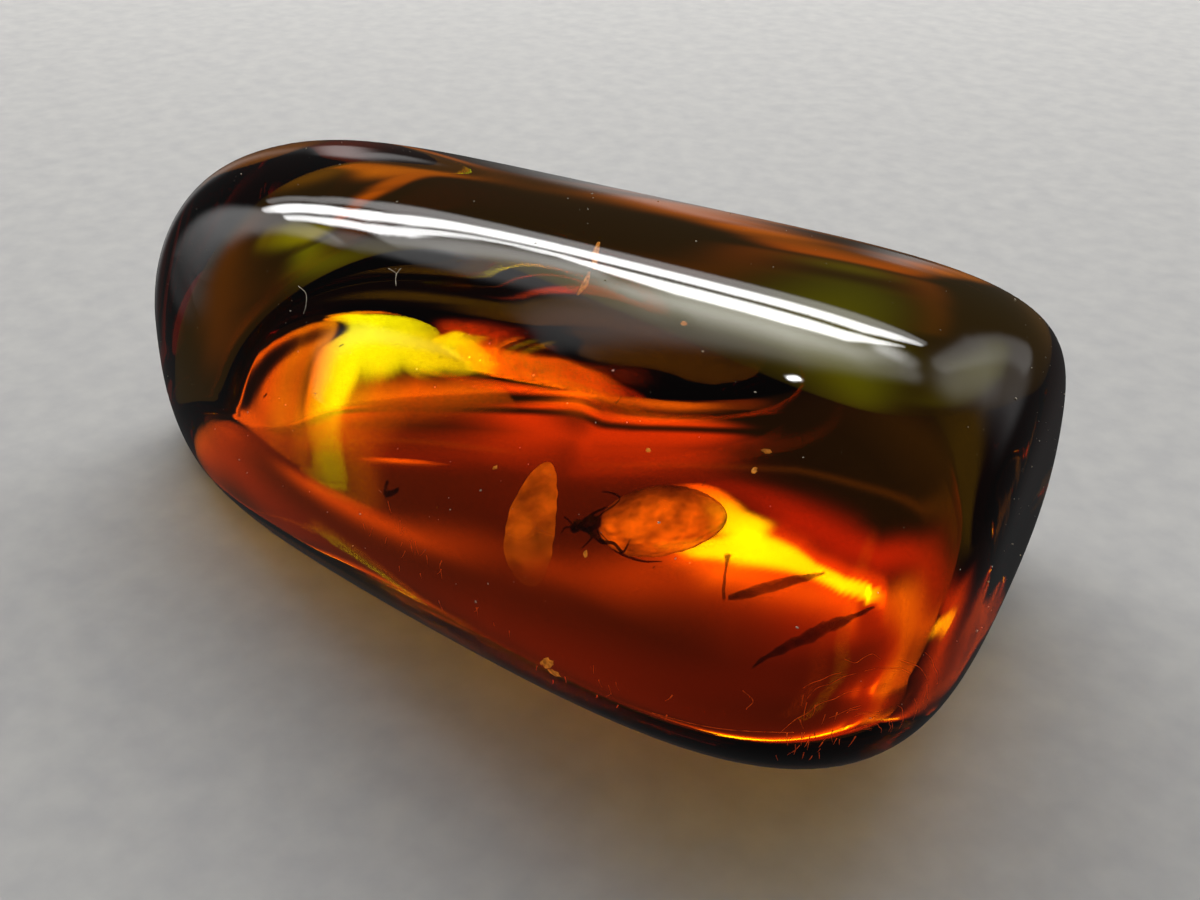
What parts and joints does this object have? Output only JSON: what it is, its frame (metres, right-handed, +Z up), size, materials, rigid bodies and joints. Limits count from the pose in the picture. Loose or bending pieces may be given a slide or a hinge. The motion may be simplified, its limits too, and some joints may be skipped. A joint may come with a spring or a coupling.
{
  "type": "insect in amber",
  "caption": "Polished clear amber pebble with an insect, a loose leg, a pale flake and bark scraps sealed inside; a keepsake or display fossil.",
  "frame": {"origin": "on the ground under the middle of the pebble's bounding box", "axes": "+X from the narrow end to the broad end, +Y away from the side where the insect lies, +Z up from the sole"},
  "size_m": [0.036, 0.0222, 0.0127],
  "materials": {
    "amber": "polished, clear, deep orange to red-brown",
    "insect_shell": "dark shell with translucent orange wings",
    "flake_skin": "pale papery plant scale",
    "leg_shell": "dark brown shell",
    "bark": "dark charred-looking bark"
  },
  "bodies": {
    "root": {"amber_lower": "amber", "amber_upper": "amber", "insect": "insect_shell", "pale_flake": "flake_skin", "loose_leg": "leg_shell", "splinter": "bark", "bark_speck": "bark"}
  },
  "joints": []
}
